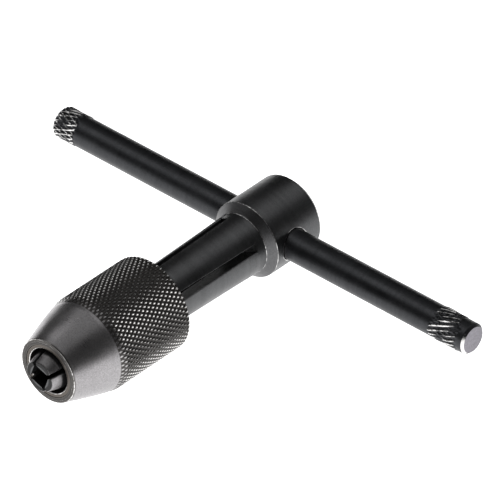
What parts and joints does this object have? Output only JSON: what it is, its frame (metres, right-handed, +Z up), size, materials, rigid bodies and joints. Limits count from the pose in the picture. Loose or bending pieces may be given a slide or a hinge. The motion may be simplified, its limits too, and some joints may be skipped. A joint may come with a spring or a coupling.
{
  "type": "tap wrench",
  "caption": "T-handle tap wrench: knurled chuck with a nose cone closing four spring jaws on a square shank, cross-slit shank, round head and sliding T-bar with knurled ends.",
  "frame": {"origin": "bottom centre of the tool lying on a bench: midway along the bar and midway from jaw tips to head, at the height of the chuck's lowest line", "axes": "+X along the T-bar, +Y along the shank from the jaw tips to the head, +Z up"},
  "size_m": [0.105, 0.0704, 0.0199],
  "materials": {
    "black_oxide": "satin black oxide over turned steel",
    "black_oxide_knurled": "black oxide, fine diamond knurl with worn bright points, brushed cone",
    "hardened_steel": "dark hardened steel with a bright ground edge",
    "blued_bar": "satin blued bar, worn bright on the knurled ends and the end face",
    "bright_steel": "polished"
  },
  "bodies": {
    "handle_body": {"head_and_shank": "black_oxide", "detent_ball": "bright_steel", "detent_spring": "bright_steel", "detent_plug": "black_oxide"},
    "chuck_core": {"chuck_liner": "hardened_steel"},
    "chuck": {"chuck_sleeve": "black_oxide_knurled"},
    "jaw_1": {"jaw_1": "black_oxide"},
    "jaw_2": {"jaw_2": "black_oxide"},
    "jaw_3": {"jaw_3": "black_oxide"},
    "jaw_4": {"jaw_4": "black_oxide"},
    "bar": {"t_bar": "blued_bar"}
  },
  "joints": [
    {"name": "chuck_travel", "type": "slide", "parent": "handle_body", "child": "chuck_core", "axis": [0, 1, 0], "range_m": [-0.00167, 0.0015]},
    {"name": "chuck_turn", "type": "hinge", "parent": "chuck_core", "child": "chuck", "pos_m": [0, 0, 0.00995], "axis": [0, 1, 0], "range_deg": [-600, 540]},
    {"name": "jaw_1_flex", "type": "hinge", "parent": "handle_body", "child": "jaw_1", "pos_m": [0.00164, 0.0148, 0.01467], "axis": [0.9444, 0, -0.3289], "range_deg": [-0.61, 0.55]},
    {"name": "jaw_2_flex", "type": "hinge", "parent": "handle_body", "child": "jaw_2", "pos_m": [-0.00472, 0.0148, 0.01159], "axis": [0.3289, 0, 0.9444], "range_deg": [-0.61, 0.55]},
    {"name": "jaw_3_flex", "type": "hinge", "parent": "handle_body", "child": "jaw_3", "pos_m": [-0.00164, 0.0148, 0.00523], "axis": [-0.9444, 0, 0.3289], "range_deg": [-0.61, 0.55]},
    {"name": "jaw_4_flex", "type": "hinge", "parent": "handle_body", "child": "jaw_4", "pos_m": [0.00472, 0.0148, 0.00831], "axis": [-0.3289, 0, -0.9444], "range_deg": [-0.61, 0.55]},
    {"name": "bar_slide", "type": "slide", "parent": "handle_body", "child": "bar", "axis": [1, 0, 0], "range_m": [-0.0355, 0.0385]}
  ],
  "couplings": [
    {"joint": "chuck_turn", "follows": "chuck_travel", "rad_per_m": 6283.2},
    {"joint": "jaw_1_flex", "follows": "chuck_travel", "rad_per_m": 6.3875},
    {"joint": "jaw_2_flex", "follows": "chuck_travel", "rad_per_m": 6.3875},
    {"joint": "jaw_3_flex", "follows": "chuck_travel", "rad_per_m": 6.3875},
    {"joint": "jaw_4_flex", "follows": "chuck_travel", "rad_per_m": 6.3875}
  ]
}
